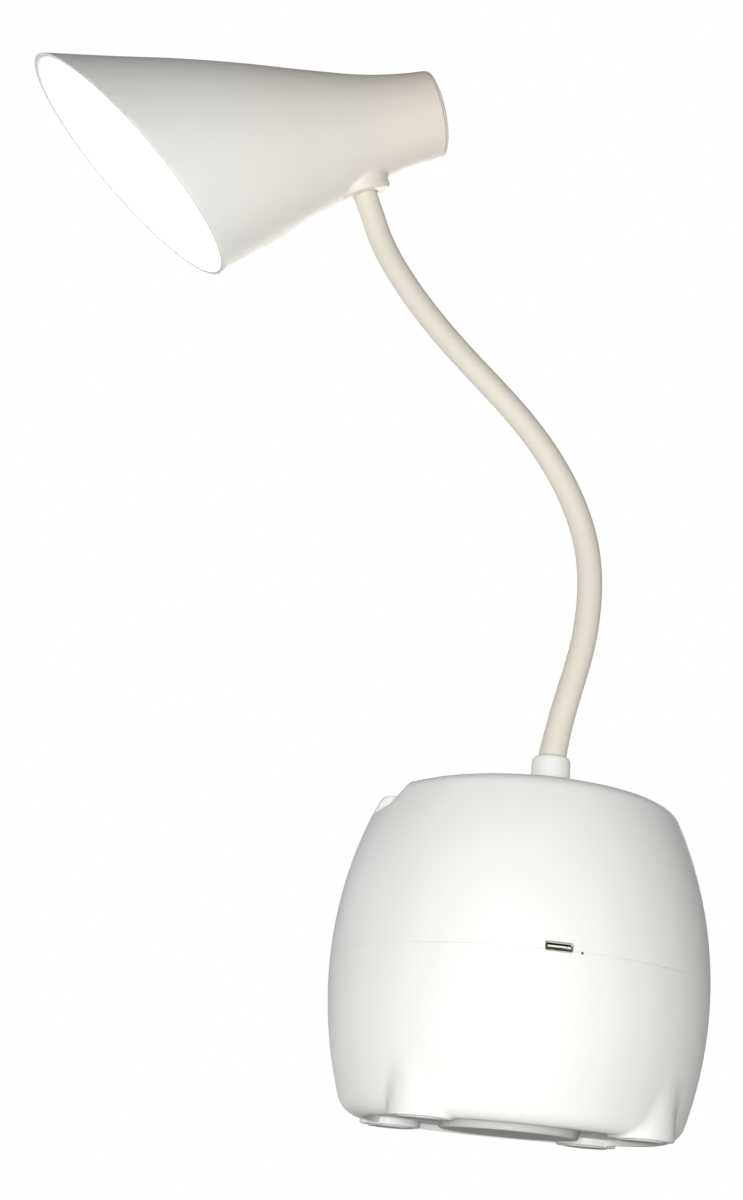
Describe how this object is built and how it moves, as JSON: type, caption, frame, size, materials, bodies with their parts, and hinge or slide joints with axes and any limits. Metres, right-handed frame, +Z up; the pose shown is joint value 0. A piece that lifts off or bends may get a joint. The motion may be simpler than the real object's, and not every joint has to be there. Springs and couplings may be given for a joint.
{
  "type": "desk lamp with drawer base",
  "caption": "Rechargeable desk lamp: rounded barrel base with pull-out drawer and phone slot, bendable neck, horn-shaped shade with slanted mouth.",
  "frame": {"origin": "centre of the rubber pad under the base, on the table plane, on the base's axis", "axes": "+Z up, the drawer opens along -Y, the charging socket and the neck are at +Y, the neck leans to +X as in the picture"},
  "size_m": [0.2384, 0.1379, 0.3265],
  "materials": {
    "housing_white": "satin white moulded plastic",
    "shade_white": "satin warm white moulded plastic",
    "neck_sleeve": "smooth ivory soft sleeve",
    "steel": "plain steel",
    "plated_steel": "bright plated steel",
    "brass": "bare brass",
    "circuit_board": "green solder mask",
    "black_plastic": "moulded black plastic",
    "pale_rubber": "pale grey rubber",
    "grey_plastic": "grey moulded plastic",
    "battery_wrap": "shrink wrap",
    "strap": "woven tape",
    "light_pipe": "tinted clear plastic",
    "touch_metal": "spun metal",
    "aluminium": "bare sheet",
    "led_phosphor": "phosphor",
    "reflector_white": "bright white",
    "diffuser": "milky translucent plastic",
    "wire": "insulated wire"
  },
  "bodies": {
    "base": {"upper_housing": "housing_white", "lower_housing": "housing_white", "bottom_cover": "housing_white", "bottom_pad": "pale_rubber", "foot_pads": "pale_rubber", "cover_screws": "plated_steel", "housing_screws": "plated_steel", "ballast_block": "steel", "battery_cell": "battery_wrap", "battery_cradle": "black_plastic", "battery_strap": "strap", "main_circuit_board": "circuit_board", "board_parts": "black_plastic", "board_screws": "plated_steel", "micro_usb_socket": "plated_steel", "charge_light_pipe": "light_pipe", "touch_key": "touch_metal", "touch_spring": "brass", "touch_board": "circuit_board", "neck_collar": "housing_white", "neck_base_ferrule": "brass", "neck_base_nut": "plated_steel", "neck_base_end": "neck_sleeve", "drawer_runners": "grey_plastic"},
    "drawer": {"drawer_front": "housing_white", "drawer_tray": "housing_white", "drawer_knob": "housing_white", "knob_screw": "plated_steel", "drawer_screws": "plated_steel"},
    "neck_length_1": {"neck_sleeve_1": "neck_sleeve", "neck_core_1": "steel"},
    "neck_length_2": {"neck_sleeve_2": "neck_sleeve", "neck_core_2": "steel"},
    "neck_length_3": {"neck_sleeve_3": "neck_sleeve", "neck_core_3": "steel"},
    "neck_length_4": {"neck_sleeve_4": "neck_sleeve", "neck_core_4": "steel"},
    "neck_length_5": {"neck_sleeve_5": "neck_sleeve", "neck_core_5": "steel"},
    "neck_length_6": {"neck_sleeve_6": "neck_sleeve", "neck_core_6": "steel"},
    "head": {"neck_head_end": "neck_sleeve", "shade": "shade_white", "rear_cap": "shade_white", "head_ferrule": "brass", "head_nut": "plated_steel", "led_board": "aluminium", "led_chips": "led_phosphor", "led_board_screws": "plated_steel", "reflector": "reflector_white", "diffuser": "diffuser", "lamp_wires": "wire"}
  },
  "joints": [
    {"name": "drawer_slide", "type": "slide", "parent": "base", "child": "drawer", "axis": [0, -1, 0], "range_m": [0, 0.045]},
    {"name": "neck_bend_1_lean", "type": "hinge", "parent": "base", "child": "neck_length_1", "pos_m": [-0.0012, 0.029, 0.111], "axis": [0, 1, 0], "range_deg": [-30, 22]},
    {"name": "neck_bend_2_sideways", "type": "hinge", "parent": "neck_length_1", "child": "neck_length_2", "pos_m": [-0.0076, 0.029, 0.141], "axis": [1, 0, 0], "range_deg": [-35, 35]},
    {"name": "neck_bend_3_lean", "type": "hinge", "parent": "neck_length_2", "child": "neck_length_3", "pos_m": [-0.0076, 0.029, 0.17], "axis": [0, 1, 0], "range_deg": [-60, 15]},
    {"name": "neck_bend_4_sideways", "type": "hinge", "parent": "neck_length_3", "child": "neck_length_4", "pos_m": [0.0036, 0.029, 0.197], "axis": [0.8486, 0, -0.5291], "range_deg": [-30, 30]},
    {"name": "neck_bend_5_lean", "type": "hinge", "parent": "neck_length_4", "child": "neck_length_5", "pos_m": [0.023, 0.029, 0.219], "axis": [0, 1, 0], "range_deg": [-40, 30]},
    {"name": "neck_bend_6_sideways", "type": "hinge", "parent": "neck_length_5", "child": "neck_length_6", "pos_m": [0.045, 0.029, 0.241], "axis": [0.7507, 0, -0.6606], "range_deg": [-35, 35]},
    {"name": "head_nod", "type": "hinge", "parent": "neck_length_6", "child": "head", "pos_m": [0.065, 0.027, 0.2663], "axis": [0, 1, 0], "range_deg": [-19, 25]}
  ]
}
